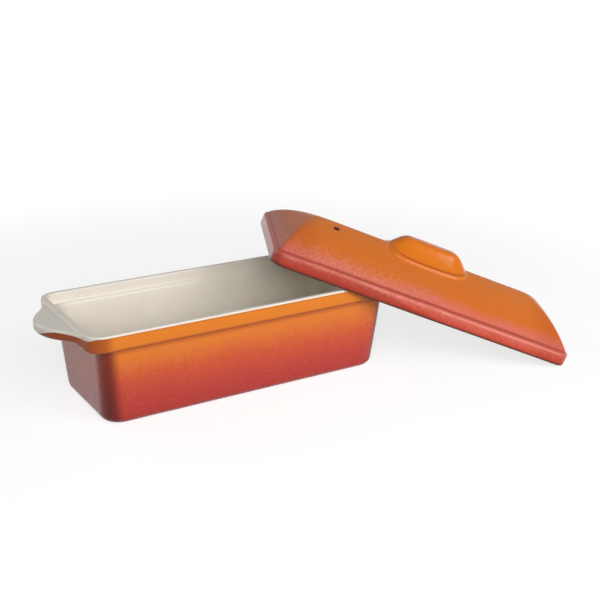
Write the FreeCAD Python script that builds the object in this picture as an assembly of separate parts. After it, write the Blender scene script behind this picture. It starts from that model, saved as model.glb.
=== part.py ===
"""Enamelled cast-iron terrine dish: an open loaf-shaped dish with two ears, and its hipped lid set down beside it.

The origin is the middle of the dish's flat base, X along the dish, +Z up. The lid leans over the right-hand
end: one corner stands on the table, and its skirt rests on the front rim and on the end rim.
"""
import FreeCAD, Part
import os
from math import asin, atan2, cos, hypot, radians, sin, sqrt

Vector = FreeCAD.Vector
UP = Vector(0, 0, 1)
MATCH = 0.01

# Dish, outside
height = 84.0
rim_length = 300.0
rim_width = 124.0
rim_corner = 15.0
band_height = 14.3
end_overhang = 11.0
side_overhang = 3.1
body_corner = 17.0
end_draft = 5.5
side_draft = 7.3
base_round = 6.5
band_foot_round = 2.0

# Dish, inside
wall_at_seat = 5.0
wall_at_floor = 3.8
floor = 4.4
end_strip = 5.3
side_strip = 4.6
seat_depth = 10.0
ledge_round = 2.4
cavity_corner = 11.0
floor_round = 9.0
lip_round = 1.3

# Ears, one at each end of the dish
ear_reach = 22.0
ear_nose_radius = 41.7
ear_flare_radius = 50.0
ear_drop = 2.0
ear_thickness = 9.0
ear_top_round = 2.4
ear_foot_round = 3.4

# Lid
lid_length = rim_length
lid_width = rim_width
lid_corner = 12.5
skirt_height = 12.6
skirt_top_round = 2.6
skirt_foot_round = 1.0
lid_wall = 3.8
eave_inset = 2.2
eave_height = 10.6
ridge_height = 40.0
side_eave_angle = 39.0
end_run = 44.0
end_eave_angle = 61.0
end_overrise = 2.0
hip_round = 6.0
steam_hole_diameter = 5.0
steam_hole_from_middle = 95.0
steam_hole_down_slope = 11.0

# Handle, cast in one with the lid
grip_rise = 10.5
grip_top_length = 54.0
grip_foot_length = 86.0
grip_foot_corner = 17.0
grip_top_width = 12.0
grip_foot_width = 40.0
grip_shoulder_round = 9.0
grip_lip_level = 36.8
grip_lip_depth = 2.4
grip_hollow = 1.6
grip_edge_round = 2.0

# How the lid is set down
lid_swing = 23.9
lid_slope = 21.9
lid_lean = 2.5
contact_clearance = 0.25

rim_plane = height
band_foot = height - band_height
seat_plane = height - seat_depth


def rounded_outline(length, width, radius, level):
    """A level rectangle with round corners, as a closed wire."""
    a = length / 2
    b = width / 2
    k = radius * (1 - sqrt(0.5))
    corners = [(1, 1), (-1, 1), (-1, -1), (1, -1)]
    edges = []
    last = None
    first = None
    for sx, sy in corners:
        along_end = Vector(sx * a, sy * (b - radius), level)
        along_side = Vector(sx * (a - radius), sy * b, level)
        middle = Vector(sx * (a - k), sy * (b - k), level)
        start, end = (along_end, along_side) if sx * sy > 0 else (along_side, along_end)
        if last is not None:
            edges.append(Part.LineSegment(last, start).toShape())
        edges.append(Part.Arc(start, middle, end).toShape())
        first = first or start
        last = end
    edges.append(Part.LineSegment(last, first).toShape())
    return Part.Wire(edges)


def block(length, width, radius, low, high):
    """An upright block on a rounded rectangle."""
    face = Part.Face(rounded_outline(length, width, radius, low))
    return face.extrude(Vector(0, 0, high - low))


def tapered_block(low_size, high_size, low, high, corner_round, foot_round):
    """A drafted block between two rectangles, with its four slanted corners and then its foot rounded."""
    low_x, low_y = low_size[0] / 2, low_size[1] / 2
    high_x, high_y = high_size[0] / 2, high_size[1] / 2
    solid = Part.makeWedge(-low_x, low, -low_y, -high_y, -high_x, low_x, high, low_y, high_y, high_x)
    solid.rotate(Vector(0, 0, 0), Vector(1, 0, 0), 90)
    corners = [e for e in solid.Edges if e.BoundBox.ZLength > (high - low) / 2]
    solid = solid.makeFillet(corner_round, corners)
    return solid.makeFillet(foot_round, level_edges(solid, low))


def level_edges(shape, level):
    """The edges that lie wholly at one height."""
    return [e for e in shape.Edges
            if abs(e.BoundBox.ZMin - level) < MATCH and abs(e.BoundBox.ZMax - level) < MATCH]


def body_size(level, inset=0.0):
    """Length and width of the drafted body at a height, less an inset on each side."""
    k = 1 - level / band_foot
    length = rim_length - 2 * (end_overhang + end_draft * k + inset)
    width = rim_width - 2 * (side_overhang + side_draft * k + inset)
    return length, width


def ear_centres():
    """Plan centres of the right-hand ear's arcs: the rim's corner, the hollow flare and the nose."""
    corner = Vector(rim_length / 2 - rim_corner, rim_width / 2 - rim_corner, 0)
    nose_tip = rim_length / 2 + ear_reach
    nose = Vector(nose_tip - ear_nose_radius, 0, 0)
    nose_to_flare = ear_nose_radius + ear_flare_radius
    corner_to_flare = rim_corner + ear_flare_radius
    gap = corner - nose
    along = (nose_to_flare ** 2 - corner_to_flare ** 2 + gap.Length ** 2) / (2 * gap.Length)
    across = sqrt(nose_to_flare ** 2 - along ** 2)
    unit = gap / gap.Length
    side = Vector(unit.y, -unit.x, 0)
    flare = nose + unit * along + side * across
    return corner, flare, nose


def towards(centre, target, radius):
    """The point of a circle about the centre that lies in the target's direction."""
    step = target - centre
    return centre + step * (radius / step.Length)


def ear_edge(across):
    """How far out the ear's outline lies, at a distance across from the dish's middle line."""
    corner, flare, nose = ear_centres()
    root = towards(corner, flare, rim_corner)
    turn = towards(nose, flare, ear_nose_radius)
    across = abs(across)
    if across <= turn.y:
        return nose.x + sqrt(ear_nose_radius ** 2 - across ** 2)
    if across <= root.y:
        return flare.x - sqrt(ear_flare_radius ** 2 - (across - flare.y) ** 2)
    return rim_length / 2


def ear():
    """The right-hand ear: a bowed plate whose outline runs out of the rim's corners in three tangent arcs."""
    corner, flare, nose = ear_centres()
    low = rim_plane - ear_drop - ear_thickness
    root = towards(corner, flare, rim_corner)
    turn = towards(nose, flare, ear_nose_radius)
    middle = towards(flare, (root + turn) / 2, ear_flare_radius)
    tip = Vector(nose.x + ear_nose_radius, 0, 0)
    inner = Vector(rim_length / 2 - rim_corner, root.y, 0)
    points = [inner, root, middle, turn, tip]
    upper = [p + Vector(0, 0, low) for p in points]
    lower = [Vector(p.x, -p.y, p.z) for p in upper]
    edges = [
        Part.LineSegment(upper[0], upper[1]).toShape(),
        Part.Arc(upper[1], upper[2], upper[3]).toShape(),
        Part.Arc(upper[3], upper[4], lower[3]).toShape(),
        Part.Arc(lower[3], lower[2], lower[1]).toShape(),
        Part.LineSegment(lower[1], lower[0]).toShape(),
        Part.LineSegment(lower[0], upper[0]).toShape(),
    ]
    plate = Part.Face(Part.Wire(edges)).extrude(Vector(0, 0, ear_thickness))
    high = low + ear_thickness
    outer = [e for e in level_edges(plate, high) if e.BoundBox.XMin > root.x - MATCH]
    plate = plate.makeFillet(ear_top_round, outer)
    outer = [e for e in level_edges(plate, low) if e.BoundBox.XMin > root.x - MATCH]
    return plate.makeFillet(ear_foot_round, outer)


def make_dish():
    """The dish as one casting: drafted body, rim band with ears, seat for the lid and cavity."""
    body = tapered_block(body_size(0.0), body_size(band_foot), 0.0, band_foot, body_corner, base_round)
    band = block(rim_length, rim_width, rim_corner, band_foot, rim_plane)
    band = band.makeFillet(band_foot_round, level_edges(band, band_foot))
    outside = body.fuse(band)
    right = ear()
    left = right.mirror(Vector(0, 0, 0), Vector(1, 0, 0))
    outside = outside.fuse([right, left])

    seat = block(rim_length - 2 * end_strip, rim_width - 2 * side_strip, rim_corner - side_strip,
                 seat_plane, rim_plane + seat_depth)
    top_length, top_width = body_size(seat_plane, wall_at_seat)
    cavity = tapered_block(body_size(floor, wall_at_floor), (top_length, top_width), floor, seat_plane,
                           cavity_corner, floor_round)
    hollow = cavity.fuse(seat)
    dish = outside.cut(hollow)
    reach_x = top_length / 2 + MATCH
    reach_y = top_width / 2 + MATCH
    ledge = [e for e in level_edges(dish, seat_plane)
             if -reach_x <= e.BoundBox.XMin and e.BoundBox.XMax <= reach_x
             and -reach_y <= e.BoundBox.YMin and e.BoundBox.YMax <= reach_y]
    dish = dish.makeFillet(ledge_round, ledge)
    dish = dish.makeFillet(lip_round, level_edges(dish, rim_plane))
    return dish


def roof_arc(half_span, eave, ridge, angle, offset):
    """Start, middle and end of one side's arch, from the eave up to the ridge, moved inwards by an offset."""
    rise = ridge - eave
    start_turn = radians(angle)
    half_turn = start_turn - atan2(rise, half_span)
    radius = hypot(half_span, rise) / (2 * sin(half_turn))
    centre = Vector(-half_span + radius * sin(start_turn), 0, eave - radius * cos(start_turn))
    inner = radius - offset
    end_turn = asin(centre.x / inner)

    def at(turn):
        return Vector(centre.x - inner * sin(turn), 0, centre.z + inner * cos(turn))

    return at(start_turn), at((start_turn + end_turn) / 2), at(end_turn)


def arch(reach, run, ridge, angle, offset, floor_level):
    """One arched face: an arc of the given run at each end of a bar whose half length is reach."""
    start, middle, end = roof_arc(run, eave_height, ridge, angle, offset)
    shift = reach - run
    left = [p - Vector(shift, 0, 0) for p in (start, middle, end)]
    right = [Vector(-p.x, 0, p.z) for p in left]
    foot_left = Vector(left[0].x, 0, floor_level)
    foot_right = Vector(right[0].x, 0, floor_level)
    edges = [Part.LineSegment(foot_left, left[0]).toShape(), Part.Arc(*left).toShape()]
    if shift > 0:
        edges.append(Part.LineSegment(left[2], right[2]).toShape())
    edges.append(Part.Arc(right[2], right[1], right[0]).toShape())
    edges.append(Part.LineSegment(right[0], foot_right).toShape())
    edges.append(Part.LineSegment(foot_right, foot_left).toShape())
    return Part.Face(Part.Wire(edges))


def hipped_solid(offset, floor_level):
    """The hipped, arched roof down to a level: the common part of a long arch and a steeper cross arch."""
    half_width = lid_width / 2 - eave_inset
    half_length = lid_length / 2 - eave_inset
    long_face = arch(half_width, half_width, ridge_height, side_eave_angle, offset, floor_level)
    long_face.rotate(Vector(0, 0, 0), UP, 90)
    long_face.translate(Vector(-lid_length, 0, 0))
    long_bar = long_face.extrude(Vector(2 * lid_length, 0, 0))
    cross_face = arch(half_length, end_run, ridge_height + end_overrise, end_eave_angle, offset, floor_level)
    cross_face.translate(Vector(0, -lid_length, 0))
    cross_bar = cross_face.extrude(Vector(0, 2 * lid_length, 0))
    return long_bar.common(cross_bar)


def grip():
    """The handle lug: a flared section across the ridge, a round-shouldered trapezoid along it, an oblong in plan."""
    top = ridge_height + grip_rise
    half_foot = grip_foot_width / 2
    half_top = grip_top_width / 2
    root = ridge_height - 2 * lid_wall
    crease = Vector(0, half_foot - grip_lip_depth, grip_lip_level)
    crest = Vector(0, half_top, top)
    slope = (crest - crease) / (crest - crease).Length
    belly = (crease + crest) / 2 - Vector(0, slope.z, -slope.y) * grip_hollow
    side = [Vector(0, half_foot, root), Vector(0, half_foot, grip_lip_level), crease, belly, crest]
    far = [Vector(0, -p.y, p.z) for p in side]
    edges = [
        Part.LineSegment(side[0], side[1]).toShape(),
        Part.LineSegment(side[1], side[2]).toShape(),
        Part.Arc(side[2], side[3], side[4]).toShape(),
        Part.LineSegment(side[4], far[4]).toShape(),
        Part.Arc(far[4], far[3], far[2]).toShape(),
        Part.LineSegment(far[2], far[1]).toShape(),
        Part.LineSegment(far[1], far[0]).toShape(),
        Part.LineSegment(far[0], side[0]).toShape(),
    ]
    across = Part.Face(Part.Wire(edges))
    across.translate(Vector(-grip_foot_length, 0, 0))
    across = across.extrude(Vector(2 * grip_foot_length, 0, 0))

    half_long = grip_foot_length / 2
    half_short = grip_top_length / 2
    outline = [Vector(-half_long, 0, root), Vector(-half_long, 0, grip_lip_level), Vector(-half_short, 0, top),
               Vector(half_short, 0, top), Vector(half_long, 0, grip_lip_level), Vector(half_long, 0, root)]
    along = Part.Face(Part.makePolygon(outline + outline[:1]))
    along.translate(Vector(0, -grip_foot_width, 0))
    along = along.extrude(Vector(0, 2 * grip_foot_width, 0))
    shoulders = [e for e in along.Edges if e.BoundBox.ZMin > top - MATCH and e.BoundBox.XLength < MATCH]
    along = along.makeFillet(grip_shoulder_round, shoulders)
    plan = block(grip_foot_length, grip_foot_width, grip_foot_corner, root - lid_wall, top + lid_wall)
    lug = across.common(along).common(plan)
    crests = [e for e in lug.Edges
              if e.BoundBox.ZMin > grip_lip_level - MATCH and e.BoundBox.ZMax > top - grip_edge_round]
    return lug.makeFillet(grip_edge_round, crests)


def make_lid_flat():
    """The lid as one casting in its own frame: its rim plane at z = 0, the ridge along X."""
    skirt = block(lid_length, lid_width, lid_corner, 0.0, skirt_height)
    skirt = skirt.makeFillet(skirt_top_round, level_edges(skirt, skirt_height))
    skirt = skirt.makeFillet(skirt_foot_round, level_edges(skirt, 0.0))
    roof_root = skirt_height / 2
    roof_plan = block(lid_length - 2 * eave_inset, lid_width - 2 * eave_inset, lid_corner - eave_inset,
                      roof_root, ridge_height + grip_rise)
    roof = hipped_solid(0.0, roof_root)
    creases = [e for e in roof.Edges if e.BoundBox.ZMax > ridge_height - MATCH]
    roof = roof.makeFillet(hip_round, creases).common(roof_plan)
    outside = skirt.fuse(roof).fuse(grip())
    hollow_plan = block(lid_length - 2 * lid_wall, lid_width - 2 * lid_wall, lid_corner - lid_wall,
                        -skirt_height, ridge_height)
    hollow = hipped_solid(lid_wall, -skirt_height).common(hollow_plan)
    lid = outside.cut(hollow)
    hole = Part.makeCylinder(steam_hole_diameter / 2, 2 * ridge_height,
                             Vector(-steam_hole_from_middle, -steam_hole_down_slope, 0), UP)
    return lid.cut(hole)


def lid_placement():
    """Where the lid comes to rest: a corner on the table, its skirt on the front rim and on the end rim or ear."""
    slope = radians(lid_slope)
    lean = radians(lid_lean)
    turn = (FreeCAD.Rotation(UP, -lid_swing)
            * FreeCAD.Rotation(Vector(0, 1, 0), lid_slope)
            * FreeCAD.Rotation(Vector(1, 0, 0), lid_lean))
    fall_along = sin(slope)
    fall_across = cos(slope) * sin(lean)
    half_length = lid_length / 2 - lid_corner
    half_width = lid_width / 2 - lid_corner
    level = (half_length * fall_along + half_width * fall_across
             + lid_corner * hypot(fall_along, fall_across) + contact_clearance)
    inner_edge = lid_width / 2 - lid_wall
    over_rim = level - rim_plane - contact_clearance
    front_touch = Vector((over_rim - fall_across * inner_edge) / fall_along, -inner_edge, 0)
    end_touch = Vector((over_rim + fall_across * inner_edge) / fall_along, inner_edge, 0)
    ear_touch = end_touch + Vector(ear_drop / fall_along, 0, 0)
    place_y = -rim_width / 2 - turn.multVec(front_touch).y
    on_rim = rim_length / 2 - turn.multVec(end_touch).x
    on_ear = ear_edge(place_y + turn.multVec(ear_touch).y) - turn.multVec(ear_touch).x
    return FreeCAD.Placement(Vector(max(on_rim, on_ear), place_y, level), turn)


def make_lid():
    """The lid, leaning over the right-hand end of the dish."""
    lid = make_lid_flat()
    lid.Placement = lid_placement()
    return lid


def write_part(name, shape):
    """Check one piece and write it as its own STEP file."""
    shape = shape.removeSplitter()
    assert shape.isValid() and len(shape.Solids) == 1, name
    shape = shape.Solids[0]
    shape.exportStep(os.path.join("parts", name + ".step"))
    print(name, round(shape.Volume / 1000, 1), "cm3", shape.BoundBox)
    return shape


os.makedirs("parts", exist_ok=True)
write_part("dish", make_dish())
write_part("lid", make_lid())
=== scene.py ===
"""Looks of the enamelled cast-iron terrine dish and its lid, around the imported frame.

Lengths are in millimetres until a mesh is made. Each casting is a skin of closed rings, each ring a
rounded rectangle, so the rounds, the ears and the roof flow into one another as they do on a cast and
enamelled piece. The lid's handle lug is a skin of its own, with its root sunk in the roof's wall.
"""
from math import atan2, cos, hypot, pi, radians, sin, sqrt

import bmesh
import bpy
from mathutils import Euler, Matrix, Vector, noise


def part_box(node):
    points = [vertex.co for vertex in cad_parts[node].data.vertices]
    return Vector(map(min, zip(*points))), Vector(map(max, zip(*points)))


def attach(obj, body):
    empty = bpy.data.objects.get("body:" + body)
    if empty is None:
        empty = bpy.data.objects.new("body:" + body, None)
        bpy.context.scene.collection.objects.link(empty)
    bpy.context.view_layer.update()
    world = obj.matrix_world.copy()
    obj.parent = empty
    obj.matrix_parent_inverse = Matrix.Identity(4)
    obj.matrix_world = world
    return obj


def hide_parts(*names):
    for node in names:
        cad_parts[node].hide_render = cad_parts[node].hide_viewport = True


MM = 0.001
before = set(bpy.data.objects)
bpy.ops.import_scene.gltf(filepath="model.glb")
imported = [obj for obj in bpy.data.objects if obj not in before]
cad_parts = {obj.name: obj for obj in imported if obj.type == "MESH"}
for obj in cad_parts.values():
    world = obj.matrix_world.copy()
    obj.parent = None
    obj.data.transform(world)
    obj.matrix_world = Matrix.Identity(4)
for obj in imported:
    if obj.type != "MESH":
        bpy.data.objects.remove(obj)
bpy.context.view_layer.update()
dish_low, dish_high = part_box("dish")
lid_low, lid_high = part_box("lid")

# Dish, outside. The band's half is its half length and half width
EAR_REACH = 22.0
HEIGHT = dish_high.z / MM
RIM_LENGTH = (dish_high.x - dish_low.x) / MM - 2 * EAR_REACH
RIM_WIDTH = (dish_high.y - dish_low.y) / MM
RIM_CORNER = 15.0
BAND_HALF = (RIM_LENGTH / 2, RIM_WIDTH / 2)
BAND_HEIGHT = 14.3
BAND_FOOT = HEIGHT - BAND_HEIGHT
BAND_FOOT_ROUND = 2.0
BAND_ROOT_ROUND = 1.0
END_OVERHANG = 11.0
SIDE_OVERHANG = 3.1
BODY_CORNER = 17.0
END_DRAFT = 5.5
SIDE_DRAFT = 7.3
BASE_ROUND = 6.5
EAR_NOSE_RADIUS = 36.0
EAR_FLARE_RADIUS = 60.0
EAR_TOP = HEIGHT - 2.0
EAR_FOOT = EAR_TOP - 9.0
EAR_TOP_ROUND = 2.4
EAR_FOOT_ROUND = 3.4
EAR_ROOT_ROUND = 1.6
EAR_MIDDLE = 0.5
EAR_FADE = 9.0

# Dish, inside
END_STRIP = 5.3
SIDE_STRIP = 4.6
LIP_ROUND = 1.3
SEAT_DEPTH = 10.0
SEAT = HEIGHT - SEAT_DEPTH
SEAT_ROUND = 1.6
LEDGE_ROUND = 2.4
LEDGE_LEAST = 0.1
WALL_AT_SEAT = 5.0
WALL_AT_FLOOR = 3.8
FLOOR = 4.4
FLOOR_ROUND = 9.0
FLOOR_CORNER = 3.0
FLOOR_MIDDLE_CORNER = 2.5
CAVITY_CORNER = 11.0

# Lid, in its own frame: rim plane at z = 0 and the ridge along x
LID_CORNER = 12.5
LID_CORNER_LEAST = 5.0
LID_CORNER_SHARE = 0.8
SKIRT_HEIGHT = 12.6
SKIRT_TOP_ROUND = 3.2
SKIRT_FOOT_ROUND = 1.0
SKIRT_INNER_ROUND = 0.7
LID_WALL = 3.8
EAVE_INSET = 2.2
EAVE_HEIGHT = 10.6
RIDGE_HEIGHT = 40.0
SIDE_EAVE_ANGLE = 39.0
END_RUN = 44.0
END_EAVE_ANGLE = 61.0
END_OVERRISE = 2.0
RIDGE_SOFTNESS = 1.4
HIP_SOFTNESS = 4.0
GROOVE_SOFTNESS = 1.2
STEAM_HOLE = (-95.0, -11.0)
STEAM_HOLE_RADIUS = 2.5
STEAM_HOLE_SIDES = 32

# Handle lug
GRIP_TOP = RIDGE_HEIGHT + 11.6
GRIP_TOP_LENGTH = 54.0
GRIP_TOP_WIDTH = 12.0
GRIP_FOOT_LENGTH = 86.0
GRIP_FOOT_WIDTH = 40.0
GRIP_FOOT_CORNER = 17.5
GRIP_CORNER_SHARE = 0.97
GRIP_CORNER_LEAST = 0.3
GRIP_BOW = 2.0
GRIP_LIP_RISE = 2.1
GRIP_LIP_DEPTH = 2.0
GRIP_LIP_ROUND = 1.1
GRIP_LIP_START = 3.0
GRIP_LIP_FULL = GRIP_FOOT_WIDTH / 2 - 5.0
GRIP_HOLLOW = 0.6
GRIP_TAPER = 2.8
GRIP_POINT = 0.5
GRIP_SHOULDER = 5.0
GRIP_CREST = 3.0
GRIP_CREASE = 0.6
GRIP_FLARE = 1.5
GRIP_FLARE_SUNK = 1.2
GRIP_ROOT_INSET = 3.0
GRIP_ROOT_SUNK = 2.6
GRIP_FOOT_SUNK = 0.1

# How the lid lies
LID_SWING = 23.9
LID_SLOPE = 21.9
LID_LEAN = 2.5

# Unevenness of the cast and enamelled skin
WAVE_DEPTH = 0.13
WAVE_LENGTH = 34.0
GRIP_WAVE_DEPTH = 0.6 * WAVE_DEPTH
GRIP_WAVE_LENGTH = 0.5 * WAVE_LENGTH
FINE_WAVE_SHARE = 0.4
FINE_WAVE_RATIO = 2.7
DISH_SEED = 3.0
LID_SEED = 11.0
GRIP_SEED = 17.0

# Points on a quarter of each ring: half the end, the corner, half the side
DISH_COUNTS = (26, 9, 44)
LID_COUNTS = (25, 9, 80)
GRIP_COUNTS = (6, 12, 26)

# Rings over each round and wall: how many, at which shares of a width or a height, or how far apart
SMALL_ROUND_STEPS = 3
ROUND_STEPS = 4
SKIRT_TOP_STEPS = 5
EAR_ROUND_STEPS = 6
LARGE_ROUND_STEPS = 7
WALL_STEPS = 14
CAVITY_STEPS = 12
SEAT_STEPS = 3
EAR_SIDE_STEPS = 5
SKIRT_STEPS = 8
BASE_SHARES = (0.04, 0.5, 0.94)
FLOOR_SHARES = (0.9, 0.5, 0.04)
LINING_SHARES = (0.25, 0.55, 0.8)
FLARE_SHARES = (0.0, 0.3, 0.6, 0.85, 1.0)
GRIP_STEP = 0.5
GRIP_MIDDLE = 0.9
GRIP_ROOT_MIDDLE = 1.0

# Insets of the roof's rings and of its lining's, as widening takes them after the start
ROOF_INSETS = (0.5, 0.5, 1.08, 1.5, 2.0, 1.0)
LINING_INSETS = (0.3, 0.7, 1.12, 2.4, 3.0, 1.2)

# Points of neighbouring rings that are closer than this are one point
SAME_POINT = 0.001

# How strongly large faces keep their shading flat
FLATS_WEIGHT = 60

# Dish: cream folded over the rim and the ears, with the depths at which it starts and is full. It laps
# lower on the ends and falls lower on the middle of each ear, and starts inside above a least height
CREAM_ON_RIM = (2.3, 0.5)
CREAM_ON_EAR = (1.2, 0.4)
CREAM_LAP = 2.4
CREAM_LAP_END = 1.0
CREAM_FALL = 6.0
CREAM_FALL_WIDTHS = (29.0, 2.0)
CREAM_LEAST_HEIGHT = 0.7 * FLOOR

# Dish: thin glaze, with the depths under the ear's top and under the rim at which it starts and is full.
# An ear's marks start a little inside the band's outline
THIN_ON_EAR = (2.6, 1.2)
THIN_ON_RIM = (3.4, 2.2)
THIN_RIM = 0.3
EAR_START = -1.0

# Dish: painted shade, and the span over which it rises on the ears, on the ends, above the band's foot,
# below it and, in radians, round the body's upright edges
SHADE_EAR = 0.15
SHADE_EAR_SPAN = (-2.0, 4.0)
SHADE_END = 0.65
SHADE_END_SPAN = (-8.0, 3.0)
SHADE_BAND = 0.4
SHADE_BAND_SPAN = (3.0, 1.0)
SHADE_UNDER_BAND = 0.5
SHADE_UNDER_BAND_SPAN = (3.5, 1.0)
SHADE_TURN_IN = (0.1, 0.7)
SHADE_TURN_OUT = (1.9, 0.95)
DISH_PITS = 0.15

# Lid: how far the marks of the cream lining and of the hole reach past their shapes, the painted shade
# in the hole, and the thin glaze of the skirt's foot
LINING_SIDE = 0.5
LINING_ABOVE = 1.0
HOLE_EDGE = 0.2
HOLE_SHADE = 1.6
THIN_FOOT = 1.5
THIN_FOOT_SPAN = (2.8, 1.3)

# Lid: painted shade in the groove, round the lug, on the ends and on the front of the skirt, where it
# reaches up to a wandering line. Each amount has the spans over which it rises
SHADE_GROOVE = 0.8
SHADE_GROOVE_ABOVE = (2.2, 0.4)
SHADE_GROOVE_BELOW = (1.5, 0.2)
SHADE_CREASE = 0.6
SHADE_CREASE_NEAR = (1.5, 0.3)
SHADE_CREASE_ABOVE = (0.4, 1.2)
SHADE_LID_END = 0.25
SHADE_LID_END_SPAN = (103.0, 128.0)
SHADE_SKIRT = 0.55
SHADE_SKIRT_TOP = (0.6, 2.0)
SHADE_SKIRT_FADE = 2.5
SHADE_BRIM = 1.15 * SKIRT_HEIGHT
SHADE_BRIM_SPAN = (55.0, -95.0)
SHADE_BRIM_WANDER = 2.0
SHADE_BRIM_WANDER_LENGTH = 5.0

# Lid: pits on the low roof at the front, with the spans across, along, from the end and in height
PITS_ACROSS = (-30.0, -50.0)
PITS_ALONG = (60.0, -60.0)
PITS_END = (-146.0, -132.0)
PITS_HEIGHT = (SKIRT_HEIGHT * 0.35, SKIRT_HEIGHT)

# Outer colours as they look on screen, from the foot of each casting to its top
DISH_STOPS = (
    (0.0, (170, 44, 38)),
    (0.25, (184, 58, 46)),
    (0.48, (200, 78, 42)),
    (0.72, (218, 116, 34)),
    (0.9, (216, 120, 26)),
    (1.0, (218, 124, 26)),
)
LID_STOPS = (
    (0.0, (182, 50, 28)),
    (0.1, (197, 76, 54)),
    (0.2, (204, 100, 82)),
    (0.31, (205, 106, 84)),
    (0.43, (204, 102, 24)),
    (0.8, (208, 111, 10)),
    (1.0, (208, 108, 12)),
)

# What the painted shade leaves of each colour
DISH_SHADE = (0.37, 0.13, 0.0, 1)
LID_SHADE = (0.56, 0.22, 0.18, 1)

# Enamel: noise scales per metre, with the detail of each, and colours as they look on screen
DRIFT = (14.0, 3.0)
DRIFT_SHARE = 0.16
SPRAY = (260.0, 3.0)
SPRAY_SHARE = 0.14
SPECK = (420.0, 2.0)
SPECK_FROM = 0.64
SPECK_GAIN = 2.6
SPECK_COLOUR = (150, 40, 18)
PIT = (420.0, 3.0)
PIT_SPAN = (0.44, 0.66)
PIT_SHARE = 0.3
PIT_COLOUR = (228, 150, 122)
PIT_HEIGHT = 7.0
MOTTLE = (60.0, 2.0)
CREAMS = ((231, 224, 212), (224, 216, 203))
CREAM_FROM = 0.2
CREAM_GAIN = 1.8
THIN_AND_SHADE_SHARE = 0.6
THIN_AND_SHADE_COLOUR = (84, 38, 14)
PEEL = (330.0, 2.0)
PEEL_HEIGHT = 0.35
SWELL = (75.0, 1.0)
BUMP_STRENGTH = 0.26
BUMP_DISTANCE = 0.0006
ROUGHNESS = 0.17
IOR = 1.36

WHITE = (1, 1, 1, 1)

# Stage, in metres and watts
AMBIENT = 0.06
BACKDROP_HIGH = 0.6
BACKDROP_SPAN = (0.0, 0.25)
FLOOR_SIZE = 12.0
FLOOR_LEVEL = -0.0002
FLOOR_SHADE = 0.36
FLOOR_GLOW = (0.74, 1.05)
FLOOR_GLOW_SPAN = (0.35, 1.1)
LAMP_TARGET = (0.06, 0.0, 0.05)
LAMPS = (
    ("key", (-0.7, -1.45, 1.0), (1.2, 1.0), 20.5),
    ("fill", (0.5, -1.1, 0.5), (0.8, 0.8), 10.7),
    ("back", (-0.9, 1.3, 0.8), (1.0, 1.0), 7.0),
)

# The camera as the photograph has it: angles in degrees, place in metres, focus in widths of the picture
CAMERA_AZIMUTH = -32.819
CAMERA_ELEVATION = 19.45
CAMERA_ROLL = 1.091
CAMERA_PLACE = (-0.42568, -0.81646, 0.4039)
CAMERA_FOCUS = 1.8195
CAMERA_SHIFT = (-0.03129, -0.01245)
CAMERA_CLIP = (0.05, 30.0)
SENSOR = 36.0


def quarter(half_x, half_y, corner, counts):
    """A quarter of a rounded rectangle, from the middle of its end to the middle of its side."""
    n_end, n_corner, n_side = counts
    points = [(half_x, (half_y - corner) * i / n_end) for i in range(n_end)]
    for i in range(n_corner):
        turn = pi / 2 * i / n_corner
        points.append((half_x - corner + corner * cos(turn), half_y - corner + corner * sin(turn)))
    points += [((half_x - corner) * (1 - i / n_side), half_y) for i in range(n_side + 1)]
    return points


def ring(half_x, half_y, corner, counts, place):
    """A closed ring: place turns each (x, y) of the first quarter into x, y and z."""
    first = [Vector(place(x, y)) for x, y in quarter(half_x, half_y, corner, counts)]
    second = [Vector((-p.x, p.y, p.z)) for p in reversed(first)]
    third = [Vector((-p.x, -p.y, p.z)) for p in first]
    fourth = [Vector((p.x, -p.y, p.z)) for p in reversed(first)]
    return first[:-1] + second[:-1] + third[:-1] + fourth[:-1]


def skin(rings):
    """A closed mesh through the rings."""
    bm = bmesh.new()
    rows = [[bm.verts.new(p) for p in points] for points in rings]
    count = len(rings[0])
    for lower, upper in zip(rows, rows[1:]):
        for i in range(count):
            j = (i + 1) % count
            bm.faces.new((lower[i], lower[j], upper[j], upper[i]))
    for row, flip in ((rows[0], True), (rows[-1], False)):
        for i in range(count // 2):
            face = [row[i], row[i + 1], row[(count - i - 1) % count], row[(count - i) % count]]
            corners = list(dict.fromkeys(face))
            bm.faces.new(corners[::-1] if flip else corners)
    bmesh.ops.remove_doubles(bm, verts=bm.verts, dist=SAME_POINT)
    bmesh.ops.recalc_face_normals(bm, faces=bm.faces)
    return bm


def mark(bm, name, measure):
    """Keeps one number on each point of a mesh, for its material."""
    layer = bm.verts.layers.float.new(name)
    for v in bm.verts:
        v[layer] = measure(v.co)


def between(low, high, value):
    """0 at low and 1 at high, smooth in between and level beyond them. Low may be the larger."""
    k = min(max((value - low) / (high - low), 0.0), 1.0)
    return k * k * (3 - 2 * k)


def unsettle(bm, depth, length, seed):
    """Moves the skin in and out in slow waves, as a sand casting under enamel has them."""
    bm.normal_update()
    moves = []
    for v in bm.verts:
        at = v.co / length + Vector((seed, 0, 0))
        wave = noise.noise(at) + FINE_WAVE_SHARE * noise.noise(at * FINE_WAVE_RATIO)
        moves.append(v.normal * (wave * depth))
    for v, move in zip(bm.verts, moves):
        v.co += move


def finished(name, bm, material):
    """The mesh as an object in metres, shaded smooth, with its flats kept flat."""
    for f in bm.faces:
        f.smooth = True
    bmesh.ops.scale(bm, vec=(MM, MM, MM), verts=bm.verts)
    mesh = bpy.data.meshes.new(name)
    bm.to_mesh(mesh)
    bm.free()
    obj = bpy.data.objects.new(name, mesh)
    bpy.context.scene.collection.objects.link(obj)
    mesh.materials.append(material)
    weighted = obj.modifiers.new("flats", "WEIGHTED_NORMAL")
    weighted.mode = "FACE_AREA"
    weighted.weight = FLATS_WEIGHT
    return obj


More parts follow.
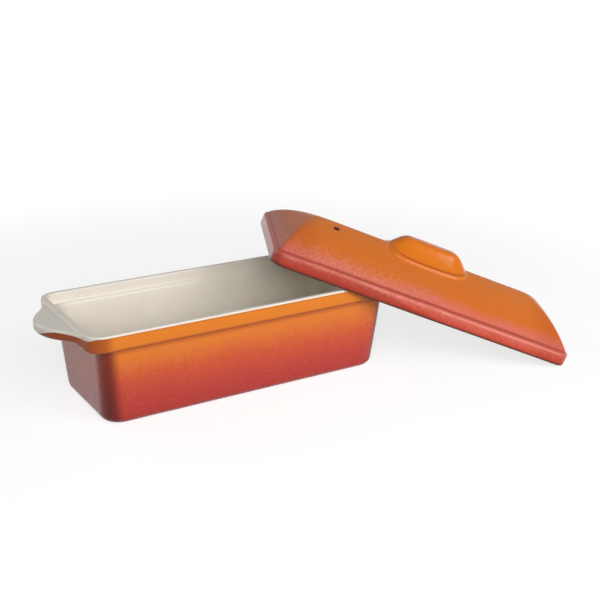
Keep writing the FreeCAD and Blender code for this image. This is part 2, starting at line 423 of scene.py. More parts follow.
def blend_min(a, b, width):
    """The lower of two heights, with the crease between them rounded over a width."""
    k = min(max(0.5 + 0.5 * (b - a) / width, 0.0), 1.0)
    return b + (a - b) * k - width * k * (1 - k)


def blend_max(a, b, width):
    """The higher of two heights, with the valley between them filled over a width."""
    return -blend_min(-a, -b, width)


def arc_steps(count):
    """Turns from 0 to a right angle, both ends included."""
    return [pi / 2 * i / count for i in range(count + 1)]


def ear_reach(x, y):
    """How far the ear stands out from the band at a point of the band's outline."""
    corner = Vector((RIM_LENGTH / 2 - RIM_CORNER, RIM_WIDTH / 2 - RIM_CORNER))
    nose = Vector((RIM_LENGTH / 2 + EAR_REACH - EAR_NOSE_RADIUS, 0))
    gap = corner - nose
    to_nose = EAR_NOSE_RADIUS + EAR_FLARE_RADIUS
    to_corner = RIM_CORNER + EAR_FLARE_RADIUS
    along = (to_nose ** 2 - to_corner ** 2 + gap.length ** 2) / (2 * gap.length)
    unit = gap.normalized()
    flare = nose + unit * along + Vector((unit.y, -unit.x)) * sqrt(to_nose ** 2 - along ** 2)
    root = corner + (flare - corner).normalized() * RIM_CORNER
    turn = nose + (flare - nose).normalized() * EAR_NOSE_RADIUS
    if y >= root.y:
        return 0.0
    if y > turn.y:
        return flare.x - sqrt(EAR_FLARE_RADIUS ** 2 - (y - flare.y) ** 2) - x
    return nose.x + sqrt(EAR_NOSE_RADIUS ** 2 - y ** 2) - x


def body_half(z, inset=0.0):
    """Half length and half width of the drafted body at a height."""
    k = 1 - z / BAND_FOOT
    return (RIM_LENGTH / 2 - END_OVERHANG - END_DRAFT * k - inset,
            RIM_WIDTH / 2 - SIDE_OVERHANG - SIDE_DRAFT * k - inset)


def depth_in(p, half, corner):
    """How far a point lies inside a rounded rectangle, seen from above."""
    past_x = abs(p.x) - half[0] + corner
    past_y = abs(p.y) - half[1] + corner
    if past_x > 0 and past_y > 0:
        return corner - hypot(past_x, past_y)
    return corner - max(past_x, past_y)


def cavity_half(z):
    """Half length and half width of the drafted cavity at a height."""
    k = (z - FLOOR) / (SEAT - FLOOR)
    return body_half(z, WALL_AT_FLOOR + (WALL_AT_SEAT - WALL_AT_FLOOR) * k)


def add_walls(add):
    """The dish's underside, its rounded foot and its drafted walls."""
    foot_x, foot_y = body_half(0.0, BASE_ROUND)
    for share in BASE_SHARES:
        add((foot_x - foot_y * (1 - share), foot_y * share), (BODY_CORNER - BASE_ROUND) * share, 0.0)
    for turn in arc_steps(LARGE_ROUND_STEPS):
        z = BASE_ROUND * (1 - cos(turn))
        inset = BASE_ROUND * (1 - sin(turn))
        add(body_half(z, inset), BODY_CORNER - inset, z)
    wall_top = BAND_FOOT - BAND_ROOT_ROUND
    for i in range(1, WALL_STEPS + 1):
        z = BASE_ROUND + (wall_top - BASE_ROUND) * i / WALL_STEPS
        add(body_half(z), BODY_CORNER, z)
    for turn in arc_steps(SMALL_ROUND_STEPS)[1:]:
        out = BAND_ROOT_ROUND * (1 - cos(turn))
        z = wall_top + BAND_ROOT_ROUND * sin(turn)
        add(body_half(BAND_FOOT, -out), BODY_CORNER + out, z)


def ear_section():
    """The ear's section, from its lower root to its root at the rim: each ring's kind, value and height.

    A "root" ring stands out from the band by its value, a "share" ring by that share of the ear's reach,
    and an "edge" ring by the reach less its value.
    """
    section = []
    for turn in arc_steps(SMALL_ROUND_STEPS):
        out = EAR_ROOT_ROUND * (1 - cos(turn))
        section.append(("root", out, EAR_FOOT - EAR_ROOT_ROUND * (1 - sin(turn))))
    section.append(("share", EAR_MIDDLE, EAR_FOOT))
    for turn in arc_steps(EAR_ROUND_STEPS):
        inset = EAR_FOOT_ROUND * (1 - sin(turn))
        section.append(("edge", inset, EAR_FOOT + EAR_FOOT_ROUND * (1 - cos(turn))))
    foot = EAR_FOOT + EAR_FOOT_ROUND
    side = EAR_TOP - EAR_TOP_ROUND - foot
    for i in range(1, EAR_SIDE_STEPS):
        section.append(("edge", 0.0, foot + side * i / EAR_SIDE_STEPS))
    for turn in arc_steps(EAR_ROUND_STEPS):
        inset = EAR_TOP_ROUND * (1 - cos(turn))
        section.append(("edge", inset, EAR_TOP - EAR_TOP_ROUND * (1 - sin(turn))))
    section.append(("share", EAR_MIDDLE, EAR_TOP))
    top_root = HEIGHT - LIP_ROUND - EAR_TOP
    for turn in arc_steps(SMALL_ROUND_STEPS):
        section.append(("root", top_root * (1 - sin(turn)), EAR_TOP + top_root * (1 - cos(turn))))
    return section


def add_band(add):
    """The dish's rim band with both ears."""
    for turn in arc_steps(ROUND_STEPS):
        inset = BAND_FOOT_ROUND * (1 - sin(turn))
        z = BAND_FOOT + BAND_FOOT_ROUND * (1 - cos(turn))
        add((BAND_HALF[0] - inset, BAND_HALF[1] - inset), RIM_CORNER - inset, z)
    section = ear_section()
    ear_low = BAND_FOOT + BAND_FOOT_ROUND
    ear_high = HEIGHT - LIP_ROUND
    for k, (kind, value, z) in enumerate(section):
        flat_z = ear_low + (ear_high - ear_low) * (k + 1) / len(section)

        def place(x, y):
            reach = ear_reach(x, y)
            full = min(reach / EAR_FADE, 1.0)
            if kind == "root":
                out = min(value, reach)
            elif kind == "share":
                out = reach * value
            else:
                out = reach - min(value, reach) * full
            return x + out, y, flat_z + (z - flat_z) * full

        add(BAND_HALF, RIM_CORNER, z, place)


def add_rim(add):
    """The dish's rounded lip, the recessed seat behind it and the ledge's round."""
    for turn in arc_steps(ROUND_STEPS)[1:]:
        inset = LIP_ROUND * (1 - cos(turn))
        z = HEIGHT - LIP_ROUND * (1 - sin(turn))
        add((BAND_HALF[0] - inset, BAND_HALF[1] - inset), RIM_CORNER - inset, z)
    strip = (BAND_HALF[0] - END_STRIP, BAND_HALF[1] - SIDE_STRIP)
    strip_corner = RIM_CORNER - SIDE_STRIP
    for turn in arc_steps(ROUND_STEPS):
        out = LIP_ROUND * (1 - sin(turn))
        z = HEIGHT - LIP_ROUND * (1 - cos(turn))
        add((strip[0] + out, strip[1] + out), strip_corner + out, z)
    side = SEAT_DEPTH - LIP_ROUND - SEAT_ROUND
    for i in range(1, SEAT_STEPS + 1):
        add(strip, strip_corner, HEIGHT - LIP_ROUND - side * i / SEAT_STEPS)
    for turn in arc_steps(SMALL_ROUND_STEPS)[1:]:
        inset = SEAT_ROUND * (1 - cos(turn))
        z = SEAT + SEAT_ROUND * (1 - sin(turn))
        add((strip[0] - inset, strip[1] - inset), strip_corner - inset, z)
    brink = cavity_half(SEAT)
    for turn in arc_steps(ROUND_STEPS):
        out = LEDGE_ROUND * (1 - sin(turn))
        out_y = min(out, strip[1] - SEAT_ROUND - LEDGE_LEAST - brink[1])
        z = SEAT - LEDGE_ROUND * (1 - cos(turn))
        add((brink[0] + out, brink[1] + out_y), CAVITY_CORNER, z)


def add_cavity(add):
    """The dish's drafted cavity and its floor."""
    wall_top = SEAT - LEDGE_ROUND
    for i in range(1, CAVITY_STEPS + 1):
        z = wall_top + (FLOOR + FLOOR_ROUND - wall_top) * i / CAVITY_STEPS
        add(cavity_half(z), CAVITY_CORNER, z)
    for turn in arc_steps(LARGE_ROUND_STEPS)[1:]:
        inset = FLOOR_ROUND * (1 - cos(turn))
        z = FLOOR + FLOOR_ROUND * (1 - sin(turn))
        half = cavity_half(z)
        add((half[0] - inset, half[1] - inset), max(CAVITY_CORNER - inset, FLOOR_CORNER), z)
    deep_x, deep_y = cavity_half(FLOOR)
    deep_x -= FLOOR_ROUND
    deep_y -= FLOOR_ROUND
    for share in FLOOR_SHARES:
        add((deep_x - deep_y * (1 - share), deep_y * share), FLOOR_MIDDLE_CORNER * share, FLOOR)


def dish_cream(p):
    """1 where the dish is cream: its inside, and what folds over the rim and the ears."""
    lap = CREAM_LAP * between(BAND_HALF[0] - RIM_CORNER / 2, BAND_HALF[0] - CREAM_LAP_END, abs(p.x))
    on_rim = between(HEIGHT - CREAM_ON_RIM[0] - lap, HEIGHT - CREAM_ON_RIM[1] - lap, p.z)
    fall = CREAM_FALL * between(*CREAM_FALL_WIDTHS, abs(p.y))
    on_ear = (between(EAR_START, 0.0, abs(p.x) - BAND_HALF[0])
              * between(EAR_TOP - CREAM_ON_EAR[0] - fall, EAR_TOP - CREAM_ON_EAR[1] - fall, p.z))
    if p.z < BAND_FOOT:
        depth = depth_in(p, body_half(p.z), BODY_CORNER)
    else:
        depth = depth_in(p, BAND_HALF, RIM_CORNER)
    inside = 1.0 if depth > WALL_AT_FLOOR / 2 and p.z > CREAM_LEAST_HEIGHT else 0.0
    return max(on_rim, on_ear, inside)


def dish_thin(p):
    """How thin and brown the dish's glaze is, along the edge of the ears and under the rim."""
    out = between(EAR_START, 0.0, abs(p.x) - BAND_HALF[0])
    on_ear = out * between(EAR_TOP - THIN_ON_EAR[0], EAR_TOP - THIN_ON_EAR[1], p.z)
    on_rim = THIN_RIM * (1 - out) * between(HEIGHT - THIN_ON_RIM[0], HEIGHT - THIN_ON_RIM[1], p.z)
    return max(on_ear, on_rim)


def dish_painted_shade(p):
    """How much painted shade the dish has: on the ends, at the band's foot and on the upright edges."""
    if p.z >= BAND_FOOT:
        end = BAND_HALF[0]
        on_ear = SHADE_EAR * between(end + SHADE_EAR_SPAN[0], end + SHADE_EAR_SPAN[1], abs(p.x))
        corner = end - RIM_CORNER
        on_end = SHADE_END * between(corner + SHADE_END_SPAN[0], corner + SHADE_END_SPAN[1], abs(p.x))
        on_foot = SHADE_BAND * between(BAND_FOOT + SHADE_BAND_SPAN[0], BAND_FOOT + SHADE_BAND_SPAN[1], p.z)
        return max(on_end + on_ear, on_foot)
    half = body_half(p.z)
    past_x = abs(p.x) - half[0] + BODY_CORNER
    past_y = abs(p.y) - half[1] + BODY_CORNER
    turned = atan2(past_x, past_y) if past_x > 0 and past_y > 0 else (0.0 if past_y > 0 else pi / 2)
    under_band = SHADE_UNDER_BAND * between(BAND_FOOT - SHADE_UNDER_BAND_SPAN[0],
                                           BAND_FOOT - SHADE_UNDER_BAND_SPAN[1], p.z)
    return max(between(*SHADE_TURN_IN, turned) * between(*SHADE_TURN_OUT, turned), under_band)


def make_dish(material):
    """The dish, from the middle of its underside, up the outside, over the rim and down to its floor."""
    rings = []

    def add(half, corner, z, place=None):
        rings.append(ring(half[0], half[1], corner, DISH_COUNTS, place or (lambda x, y: (x, y, z))))

    add_walls(add)
    add_band(add)
    add_rim(add)
    add_cavity(add)
    bm = skin(rings)
    mark(bm, "cream", dish_cream)
    mark(bm, "edge", dish_thin)
    # The corner mark is painted shade: on the ends, the ears, the band's foot, under the band and round
    # the upright edges
    mark(bm, "corner", dish_painted_shade)
    mark(bm, "level", lambda p: p.z / HEIGHT)
    mark(bm, "pits", lambda p: DISH_PITS if p.z < BAND_FOOT else 0.0)
    unsettle(bm, WAVE_DEPTH, WAVE_LENGTH, DISH_SEED)
    return finished("dish_skin", bm, material)


def arch_height(across, half_span, rise, angle, offset):
    """Height over the eave of one arch, at a distance from its crest, moved inwards by an offset."""
    half_turn = radians(angle) - atan2(rise, half_span)
    radius = hypot(half_span, rise) / (2 * sin(half_turn))
    centre = -half_span + radius * sin(radians(angle))
    low = -radius * cos(radians(angle))
    drop = (radius - offset) ** 2 - (across + centre) ** 2
    return low + sqrt(drop) if drop > 0 else low


def roof(u, v, offset=0.0):
    """Height of the lid's roof, or of its lining when there is an offset."""
    half_width = RIM_WIDTH / 2 - EAVE_INSET
    half_length = RIM_LENGTH / 2 - EAVE_INSET
    rise = RIDGE_HEIGHT - EAVE_HEIGHT
    from_ridge = hypot(v, RIDGE_SOFTNESS)
    past = max(abs(u) - (half_length - END_RUN), 0.0)
    along = EAVE_HEIGHT + arch_height(from_ridge, half_width, rise, SIDE_EAVE_ANGLE, offset)
    across = EAVE_HEIGHT + arch_height(past, END_RUN, rise + END_OVERRISE, END_EAVE_ANGLE, offset)
    return blend_min(along, across, HIP_SOFTNESS)


def widening(start, beyond, step, growth, widest, end, last):
    """Insets from the skirt's outline, in steps that widen, to just short of the ridge.

    The first lies beyond the start. They end when one comes within end of the ridge, and that one moves
    to last from it.
    """
    insets = [start + beyond]
    while insets[-1] < RIM_WIDTH / 2 - end:
        step = min(step * growth, widest)
        insets.append(insets[-1] + step)
    insets[-1] = RIM_WIDTH / 2 - last
    return insets


def add_skirt(add):
    """The lid's skirt, from its rounded top edge down to its foot and round to the inside."""
    for turn in reversed(arc_steps(SKIRT_TOP_STEPS)):
        z = SKIRT_HEIGHT - SKIRT_TOP_ROUND * (1 - sin(turn))
        add(SKIRT_TOP_ROUND * (1 - cos(turn)), lambda u, v: z)
    side = SKIRT_HEIGHT - SKIRT_TOP_ROUND - SKIRT_FOOT_ROUND
    for i in range(1, SKIRT_STEPS + 1):
        z = SKIRT_FOOT_ROUND + side * (1 - i / SKIRT_STEPS)
        add(0.0, lambda u, v: z)
    for turn in arc_steps(SMALL_ROUND_STEPS)[1:]:
        z = SKIRT_FOOT_ROUND * (1 - sin(turn))
        add(SKIRT_FOOT_ROUND * (1 - cos(turn)), lambda u, v: z)
    for turn in arc_steps(SMALL_ROUND_STEPS):
        z = SKIRT_INNER_ROUND * (1 - cos(turn))
        add(LID_WALL - SKIRT_INNER_ROUND * (1 - sin(turn)), lambda u, v: z)


def lid_shell():
    """The lid's skirt and roof as one skin, from the ridge down the outside and up the lining."""
    rings = []
    half_x = RIM_LENGTH / 2
    half_y = RIM_WIDTH / 2

    def add(inset, height):
        corner = max(LID_CORNER - inset, LID_CORNER_LEAST)
        corner = min(corner, LID_CORNER_SHARE * (half_y - inset))
        rings.append(ring(half_x - inset, half_y - inset, corner, LID_COUNTS,
                          lambda u, v: (u, v, height(u, v))))

    def lining(u, v):
        return roof(u, v, LID_WALL)

    for inset in reversed(widening(SKIRT_TOP_ROUND, *ROOF_INSETS)):
        add(inset, lambda u, v: blend_max(roof(u, v), SKIRT_HEIGHT, GROOVE_SOFTNESS))
    add_skirt(add)
    low = SKIRT_INNER_ROUND
    for share in LINING_SHARES:
        add(LID_WALL, lambda u, v: low + share * (lining(u, v) - low))
    for inset in widening(LID_WALL, *LINING_INSETS):
        add(inset, lining)
    return skin(rings)


def lug_width(u):
    """Half width of the handle lug's foot: widest in the middle, drawn in to a point at its ends."""
    half_length = GRIP_FOOT_LENGTH / 2 - GRIP_LIP_DEPTH
    k = min(abs(u) / half_length, 1.0)
    return (GRIP_FOOT_WIDTH / 2 + GRIP_BOW - GRIP_LIP_DEPTH) * (1 - k ** GRIP_TAPER) ** (1 / GRIP_TAPER)


def lip_height(u, v):
    """Height of the lip round the handle lug: it runs out where it meets the ridge."""
    return roof(u, v) + GRIP_LIP_RISE * between(GRIP_LIP_START, GRIP_LIP_FULL, abs(v)) - GRIP_FOOT_SUNK


def lug_height(u, v):
    """Height of the handle lug: two hollow flanks that meet in a rounded crest, above its lip."""
    lip = lip_height(u, v)
    width = lug_width(u)
    if width < GRIP_POINT:
        return lip
    foot = lip_height(u, width)
    along = (GRIP_FOOT_LENGTH / 2 - abs(u)) / (GRIP_FOOT_LENGTH - GRIP_TOP_LENGTH) * 2
    low = RIDGE_HEIGHT - GRIP_LIP_RISE
    crest = blend_min(low + (GRIP_TOP - low) * along, GRIP_TOP, GRIP_SHOULDER)
    k = (width - abs(v)) / (width * (1 - GRIP_TOP_WIDTH / GRIP_FOOT_WIDTH))
    flank = foot + (crest - foot) * k
    if 0 < k < 1:
        flank -= 4 * GRIP_HOLLOW * k * (1 - k)
    return blend_max(blend_min(flank, crest, GRIP_CREST), lip, GRIP_CREASE)


def lid_lug():
    """The handle lug, with its foot flared onto the roof and its root sunk in the roof's wall."""
    rings = []
    half_x = GRIP_FOOT_LENGTH / 2
    half_y = GRIP_FOOT_WIDTH / 2

    def add(inset, height):
        corner = min(GRIP_FOOT_CORNER - inset, GRIP_CORNER_SHARE * (half_y - inset))
        corner = max(corner, GRIP_CORNER_LEAST)

        def place(u, v):
            bowed = v * (1 + GRIP_BOW / half_y * (1 - (u / half_x) ** 2))
            return u, bowed, height(u, bowed)

        rings.append(ring(half_x - inset, half_y - inset, corner, GRIP_COUNTS, place))

    add(half_y - GRIP_ROOT_MIDDLE, lambda u, v: roof(u, v) - GRIP_ROOT_SUNK)
    add(GRIP_ROOT_INSET, lambda u, v: roof(u, v) - GRIP_ROOT_SUNK)
    add(-GRIP_FLARE, lambda u, v: roof(u, v) - GRIP_FLARE_SUNK)
    for share in FLARE_SHARES:
        lift = 1 - sqrt(max(1 - share ** 2, 0.0))
        add(-GRIP_FLARE * (1 - share), lambda u, v: roof(u, v) - GRIP_FOOT_SUNK
            + lift * max(lip_height(u, v) - roof(u, v) - GRIP_LIP_ROUND, 0.0))
    for turn in arc_steps(ROUND_STEPS):
        drop = GRIP_LIP_ROUND * (1 - sin(turn))
        add(GRIP_LIP_ROUND * (1 - cos(turn)),
            lambda u, v: max(lug_height(u, v) - drop, roof(u, v) - GRIP_FOOT_SUNK))
    inset = GRIP_LIP_ROUND
    while inset < half_y - GRIP_MIDDLE:
        inset += GRIP_STEP
        add(inset, lug_height)
    return skin(rings)


def lid_turn():
    """How the lid is turned where it lies."""
    return (Matrix.Rotation(radians(-LID_SWING), 4, "Z") @ Matrix.Rotation(radians(LID_SLOPE), 4, "Y")
            @ Matrix.Rotation(radians(LID_LEAN), 4, "X"))


def drill(bm):
    """The lid's skin with the steam hole cut through it."""
    mesh = bpy.data.meshes.new("lid_uncut")
    bm.to_mesh(mesh)
    bm.free()
    body = bpy.data.objects.new("lid_uncut", mesh)
    bpy.context.scene.collection.objects.link(body)
    bpy.ops.mesh.primitive_cylinder_add(vertices=STEAM_HOLE_SIDES, radius=STEAM_HOLE_RADIUS,
                                        depth=3 * RIDGE_HEIGHT, location=(*STEAM_HOLE, 0))
    cutter = bpy.context.active_object
    cut = body.modifiers.new("steam_hole", "BOOLEAN")
    cut.object = cutter
    cut.operation = "DIFFERENCE"
    cut.solver = "EXACT"
    bpy.context.view_layer.update()
    result = bpy.data.meshes.new_from_object(body.evaluated_get(bpy.context.evaluated_depsgraph_get()))
    bpy.data.objects.remove(body)
    bpy.data.objects.remove(cutter)
    drilled = bmesh.new()
    drilled.from_mesh(result)
    return drilled


def in_hole(p):
    """Whether a point of the lid is in the steam hole or on its edge."""
    return hypot(p.x - STEAM_HOLE[0], p.y - STEAM_HOLE[1]) < STEAM_HOLE_RADIUS + HOLE_EDGE


def lid_cream(p):
    """1 on the lid's cream lining."""
    reach_x = RIM_LENGTH / 2 - LID_WALL + LINING_SIDE
    reach_y = RIM_WIDTH / 2 - LID_WALL + LINING_SIDE
    within_skirt = abs(p.x) < reach_x and abs(p.y) < reach_y
    under_roof = p.z < roof(p.x, p.y) - LID_WALL + LINING_ABOVE
    return 1.0 if within_skirt and under_roof and not in_hole(p) else 0.0


def lid_thin_and_hole_shade(p):
    """Painted shade in the steam hole, and how thin and brown the lid's glaze is along the skirt's foot.
    """
    return HOLE_SHADE if in_hole(p) else THIN_FOOT * between(*THIN_FOOT_SPAN, p.z)


def groove_shade(p):
    """Painted shade in the groove between the skirt and the roof."""
    above = abs(roof(p.x, p.y) - SKIRT_HEIGHT)
    low, high = SHADE_GROOVE_BELOW
    return (SHADE_GROOVE * between(*SHADE_GROOVE_ABOVE, above)
            * between(SKIRT_HEIGHT - low, SKIRT_HEIGHT - high, p.z))


def crease_shade(p):
    """Painted shade in the crease round the handle lug."""
    near = between(*SHADE_CREASE_NEAR, abs(abs(p.y) - lug_width(p.x)))
    return SHADE_CREASE * near * between(*SHADE_CREASE_ABOVE, p.z - roof(p.x, p.y))


def skirt_shade(p):
    """Painted shade on the lid's ends, and on the front of its skirt up to a wandering line."""
    on_end = SHADE_LID_END * between(*SHADE_LID_END_SPAN, abs(p.x))
    top, full = SHADE_SKIRT_TOP
    if p.z > SKIRT_HEIGHT - top or p.y > 0:
        return on_end
    wander = SHADE_BRIM_WANDER * noise.noise(p / SHADE_BRIM_WANDER_LENGTH)
    brim = SHADE_BRIM * between(*SHADE_BRIM_SPAN, p.x) + wander
    under_groove = between(SKIRT_HEIGHT - top, SKIRT_HEIGHT - full, p.z)
    return max(on_end, SHADE_SKIRT * between(brim, brim - SHADE_SKIRT_FADE, p.z) * under_groove)


def lid_pits(p):
    """How pitted the lid's enamel is: most on the low roof at the front, towards the high end."""
    on_roof = between(*PITS_ACROSS, p.y) * between(*PITS_ALONG, p.x) * between(*PITS_END, p.x)
    return on_roof * between(*PITS_HEIGHT, p.z)


def lay(bm):
    """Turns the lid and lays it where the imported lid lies."""
    bmesh.ops.transform(bm, matrix=lid_turn(), verts=bm.verts)
    low = Vector([min(v.co[i] for v in bm.verts) for i in range(3)])
    high = Vector([max(v.co[i] for v in bm.verts) for i in range(3)])
    bmesh.ops.translate(bm, vec=((lid_low + lid_high) / MM - low - high) / 2, verts=bm.verts)


def take_in(bm, other):
    """Moves everything in another mesh over to a mesh."""
    spare = bpy.data.meshes.new("spare")
    other.to_mesh(spare)
    other.free()
    bm.from_mesh(spare)
    bpy.data.meshes.remove(spare)


def make_lid(material):
    """The lid with its lug as one piece, made in its own frame and then laid."""
    bm = drill(lid_shell())
    unsettle(bm, WAVE_DEPTH, WAVE_LENGTH, LID_SEED)
    lug = lid_lug()
    unsettle(lug, GRIP_WAVE_DEPTH, GRIP_WAVE_LENGTH, GRIP_SEED)
    take_in(bm, lug)
    mark(bm, "cream", lid_cream)
    # The edge mark is painted shade in the steam hole and thin glaze along the skirt's foot
    mark(bm, "edge", lid_thin_and_hole_shade)
    # The corner mark is painted shade: in the groove, round the lug, on the ends and on the front of the
    # skirt
    mark(bm, "corner", lambda p: max(groove_shade(p), crease_shade(p), skirt_shade(p)))
    mark(bm, "level", lambda p: p.z / GRIP_TOP)
    mark(bm, "pits", lid_pits)
    lay(bm)
    return finished("lid_skin", bm, material)


class Nodes:
    """Short names for building a node tree, which starts empty."""

    def __init__(self, tree):
        self.tree = tree
        tree.nodes.clear()

    def new(self, kind, **values):
        node = self.tree.nodes.new(kind)
        for name, value in values.items():
            setattr(node, name, value)
        return node

    def link(self, start, end):
        self.tree.links.new(start, end)

    def fill(self, socket, value):
        """Sets a number or a colour on a socket, or links what another node gives."""
        if isinstance(value, (int, float, tuple)):
            socket.default_value = value
        else:
            self.link(value, socket)

    def attribute(self, name):
        return self.new("ShaderNodeAttribute", attribute_name=name).outputs["Fac"]

    def maths(self, operation, a, b, clamp=False):
        node = self.new("ShaderNodeMath", operation=operation, use_clamp=clamp)
        self.fill(node.inputs[0], a)
        self.fill(node.inputs[1], b)
        return node.outputs[0]

    def drifted(self, value, pattern, share, clamp=False):
        """A value that a noise pattern moves up and down by a share."""
        moved = self.maths("MULTIPLY", self.maths("SUBTRACT", pattern, 0.5), share)
        return self.maths("ADD", value, moved, clamp=clamp)

    def spread(self, value, span, result):
        """Takes a value from a span smoothly to a span of results."""
        node = self.new("ShaderNodeMapRange", interpolation_type="SMOOTHSTEP")
        self.link(value, node.inputs["Value"])
        for name, number in zip(("From Min", "From Max", "To Min", "To Max"), (*span, *result)):
            node.inputs[name].default_value = number
        return node.outputs["Result"]

    def mix(self, share, a, b, blend="MIX"):
        """Blends b over a. The node's inputs 6 and 7 are its colours, and its output 2 is the result."""
        node = self.new("ShaderNodeMix", data_type="RGBA", blend_type=blend)
        self.fill(node.inputs[0], share)
        self.fill(node.inputs[6], a)
        self.fill(node.inputs[7], b)
        return node.outputs[2]

    def noise(self, where, scale, detail):
        node = self.new("ShaderNodeTexNoise")
        node.inputs["Scale"].default_value = scale
        node.inputs["Detail"].default_value = detail
        self.link(where, node.inputs["Vector"])
        return node.outputs["Fac"]

    def ramp(self, share, stops):
        node = self.new("ShaderNodeValToRGB")
        ramp = node.color_ramp
        while len(ramp.elements) < len(stops):
            ramp.elements.new(0.5)
        for element, (position, colour) in zip(ramp.elements, stops):
            element.position = position
            element.color = srgb(*colour)
        self.link(share, node.inputs[0])
        return node.outputs[0]

    def finish(self, shader, kind="ShaderNodeOutputMaterial"):
        self.link(shader, self.new(kind).inputs["Surface"])


def srgb(red, green, blue):
    """A colour as it looks on screen, from 0 to 255, as the linear colour a shader takes."""
    def linear(c):
        c /= 255
        return c / 12.92 if c <= 0.04045 else ((c + 0.055) / 1.055) ** 2.4
    return (linear(red), linear(green), linear(blue), 1.0)


def outer_colour(n, where, pit, stops, shade):
    """The colour outside, graded with height, with specks, pits and painted shade, and brown where it is
    thin.
    """
    level = n.drifted(n.attribute("level"), n.noise(where, *DRIFT), DRIFT_SHARE)
    level = n.drifted(level, n.noise(where, *SPRAY), SPRAY_SHARE, clamp=True)
    colour = n.ramp(level, stops)
    speck = n.maths("SUBTRACT", n.noise(where, *SPECK), SPECK_FROM, clamp=True)
    speck = n.maths("MULTIPLY", speck, SPECK_GAIN, clamp=True)
    colour = n.mix(speck, colour, srgb(*SPECK_COLOUR))
    colour = n.mix(n.maths("MULTIPLY", pit, PIT_SHARE), colour, srgb(*PIT_COLOUR))
    # The corner mark is painted shade, multiplied over the colour
    colour = n.mix(n.attribute("corner"), colour, shade, "MULTIPLY")
    # The edge mark is thin brown glaze, and on the lid also painted shade in the steam hole
    thin = n.maths("MULTIPLY", n.attribute("edge"), THIN_AND_SHADE_SHARE, clamp=True)
    return n.mix(thin, colour, srgb(*THIN_AND_SHADE_COLOUR))


def glaze_bump(n, where, pit):
    """The fine peel and the slow swell of the glaze, with its pits."""
    height = n.maths("MULTIPLY", n.noise(where, *PEEL), PEEL_HEIGHT)
    height = n.maths("ADD", height, n.noise(where, *SWELL))
    height = n.maths("ADD", height, n.maths("MULTIPLY", pit, PIT_HEIGHT))
    bump = n.new("ShaderNodeBump")
    bump.inputs["Strength"].default_value = BUMP_STRENGTH
    bump.inputs["Distance"].default_value = BUMP_DISTANCE
    n.link(height, bump.inputs["Height"])
    return bump.outputs[0]


def enamel(name, stops, shade):
    """Glossy enamel, cream where a mesh is marked so and coloured elsewhere."""
    material = bpy.data.materials.new(name)
    material.use_nodes = True
    n = Nodes(material.node_tree)
    where = n.new("ShaderNodeTexCoord").outputs["Object"]
    pit = n.spread(n.noise(where, *PIT), PIT_SPAN, (0.0, 1.0))
    pit = n.maths("MULTIPLY", pit, n.attribute("pits"))
    outside = outer_colour(n, where, pit, stops, shade)
    lining = n.mix(n.noise(where, *MOTTLE), srgb(*CREAMS[0]), srgb(*CREAMS[1]))
    cream = n.maths("SUBTRACT", n.attribute("cream"), CREAM_FROM)
    cream = n.maths("MULTIPLY", cream, CREAM_GAIN, clamp=True)
    shader = n.new("ShaderNodeBsdfPrincipled")
    n.link(n.mix(cream, outside, lining), shader.inputs["Base Color"])
    n.link(glaze_bump(n, where, pit), shader.inputs["Normal"])
    shader.inputs["Roughness"].default_value = ROUGHNESS
    shader.inputs["IOR"].default_value = IOR
    n.finish(shader.outputs[0])
    return material


def background_rays(n):
    """1 for rays that show the background itself or its reflection, and 0 for those that only light."""
    path = n.new("ShaderNodeLightPath")
    shown = n.maths("MAXIMUM", path.outputs["Is Camera Ray"], path.outputs["Is Glossy Ray"])
    return n.maths("MAXIMUM", shown, path.outputs["Is Transmission Ray"])


def make_surround():
    """A white surround that lights the object only a little."""
    world = bpy.data.worlds.new("surround")
    bpy.context.scene.world = world
    world.use_nodes = True
    n = Nodes(world.node_tree)
    shown = background_rays(n)
    back = n.new("ShaderNodeBackground")
    back.inputs["Color"].default_value = WHITE
    split = n.new("ShaderNodeSeparateXYZ")
    n.link(n.new("ShaderNodeTexCoord").outputs["Generated"], split.inputs[0])
    wall = n.spread(split.outputs["Z"], BACKDROP_SPAN, (1.0, BACKDROP_HIGH))
    n.link(n.maths("MAXIMUM", n.maths("MULTIPLY", shown, wall), AMBIENT), back.inputs["Strength"])
    n.finish(back.outputs[0], "ShaderNodeOutputWorld")


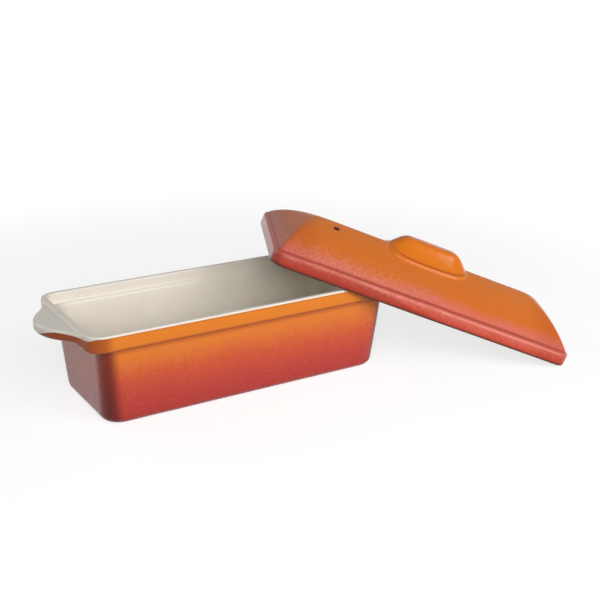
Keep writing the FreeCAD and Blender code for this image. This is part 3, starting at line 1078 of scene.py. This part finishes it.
def floor_paint():
    """A pale matt paint that glows for rays that show it, more so away from the object."""
    material = bpy.data.materials.new("floor")
    material.use_nodes = True
    n = Nodes(material.node_tree)
    shown = background_rays(n)
    where = n.new("ShaderNodeTexCoord").outputs["Object"]
    length = n.new("ShaderNodeVectorMath", operation="LENGTH")
    n.link(where, length.inputs[0])
    away = n.spread(length.outputs["Value"], FLOOR_GLOW_SPAN, FLOOR_GLOW)
    diffuse = n.new("ShaderNodeBsdfDiffuse")
    diffuse.inputs["Color"].default_value = (FLOOR_SHADE, FLOOR_SHADE, FLOOR_SHADE, 1)
    glow = n.new("ShaderNodeEmission")
    glow.inputs["Color"].default_value = WHITE
    n.link(n.maths("MULTIPLY", shown, away), glow.inputs["Strength"])
    both = n.new("ShaderNodeAddShader")
    n.link(diffuse.outputs[0], both.inputs[0])
    n.link(glow.outputs[0], both.inputs[1])
    n.finish(both.outputs[0])
    return material


def make_floor():
    """A plain pale floor that keeps the object's shadow."""
    bpy.ops.mesh.primitive_plane_add(size=FLOOR_SIZE, location=(0, 0, FLOOR_LEVEL))
    floor = bpy.context.active_object
    floor.name = "floor"
    floor.data.materials.append(floor_paint())


def make_lamps():
    """Soft studio lamps, all turned to the object."""
    for name, place, size, power in LAMPS:
        data = bpy.data.lights.new(name, "AREA")
        data.shape = "RECTANGLE"
        data.size, data.size_y = size
        data.energy = power
        lamp = bpy.data.objects.new(name, data)
        lamp.location = place
        lamp.rotation_mode = "QUATERNION"
        lamp.rotation_quaternion = (Vector(LAMP_TARGET) - Vector(place)).to_track_quat("-Z", "Y")
        bpy.context.scene.collection.objects.link(lamp)


def make_camera():
    """A camera at the photograph's angle."""
    data = bpy.data.cameras.new("camera")
    data.sensor_width = SENSOR
    data.lens = CAMERA_FOCUS * SENSOR
    data.shift_x, data.shift_y = CAMERA_SHIFT
    data.clip_start, data.clip_end = CAMERA_CLIP
    camera = bpy.data.objects.new("camera", data)
    tilt = radians(90 - CAMERA_ELEVATION)
    turn = Euler((tilt, 0, radians(CAMERA_AZIMUTH)), "XYZ").to_matrix()
    roll = Matrix.Rotation(radians(CAMERA_ROLL), 3, "Z")
    camera.matrix_world = Matrix.Translation(CAMERA_PLACE) @ (turn @ roll).to_4x4()
    bpy.context.scene.collection.objects.link(camera)
    bpy.context.scene.camera = camera


dish = make_dish(enamel("dish_enamel", DISH_STOPS, DISH_SHADE))
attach(dish, "root")
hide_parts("dish")
lid = make_lid(enamel("lid_enamel", LID_STOPS, LID_SHADE))
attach(lid, "root")
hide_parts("lid")
make_surround()
make_floor()
make_lamps()
make_camera()
bpy.context.scene.view_settings.view_transform = "Standard"
